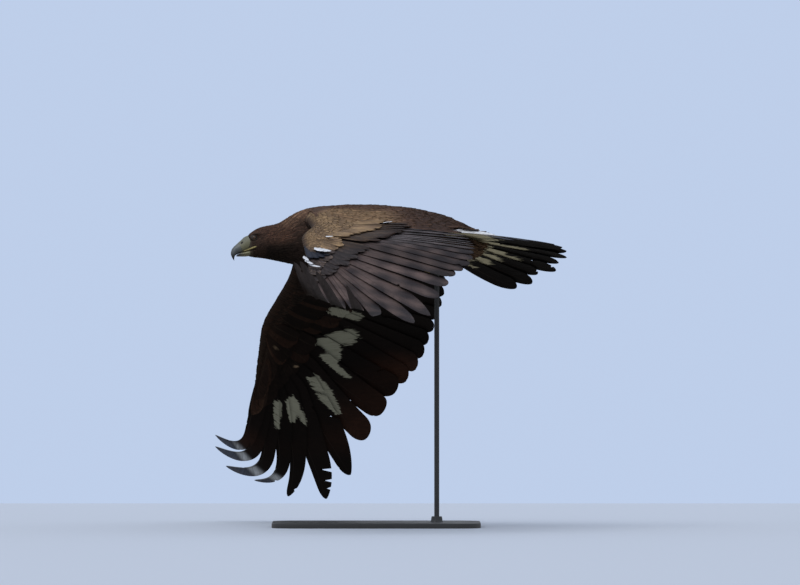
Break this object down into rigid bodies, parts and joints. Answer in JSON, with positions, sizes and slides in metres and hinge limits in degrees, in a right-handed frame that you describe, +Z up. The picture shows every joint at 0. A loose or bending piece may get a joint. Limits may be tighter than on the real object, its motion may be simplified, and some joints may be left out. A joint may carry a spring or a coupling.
{
  "type": "golden eagle model",
  "caption": "Life-size golden eagle in flight with arched, fingered wings and spread tail, banked on a flat base with one rod.",
  "frame": {"origin": "middle of the underside of the stand's base, on the floor", "axes": "+Z up; the eagle flies towards -X, its left wing reaches towards -Y and its right wing towards +Y"},
  "size_m": [0.8439, 1.6662, 0.771],
  "materials": {
    "plumage": "dark reddish brown body feathers with paler edges",
    "nape": "golden buff pointed hackles",
    "flight_feathers": "dark grey-brown flight feathers, white at the base, with a faint sheen",
    "cere": "yellow cere and scaled yellow toes",
    "bill": "slate horn, darker to the hooked tip",
    "claw": "black polished horn",
    "eye": "glossy dark brown iris with black pupil",
    "stand": "satin dark grey powder coat"
  },
  "bodies": {
    "root": {"head": "plumage", "neck": "nape", "torso": "plumage", "tail": "flight_feathers", "cere": "cere", "bill_upper": "bill", "bill_lower": "bill", "stand_base": "stand", "stand_rod": "stand", "eye_left": "eye", "wing_left_arm": "flight_feathers", "wing_left_hand": "flight_feathers", "wing_left_alula": "flight_feathers", "leg_left": "plumage", "foot_left": "cere", "claw_left_inner": "claw", "claw_left_middle": "claw", "claw_left_outer": "claw", "claw_left_hind": "claw", "eye_right": "eye", "wing_right_arm": "flight_feathers", "wing_right_hand": "flight_feathers", "wing_right_alula": "flight_feathers", "leg_right": "plumage", "foot_right": "cere", "claw_right_inner": "claw", "claw_right_middle": "claw", "claw_right_outer": "claw", "claw_right_hind": "claw"}
  },
  "joints": []
}
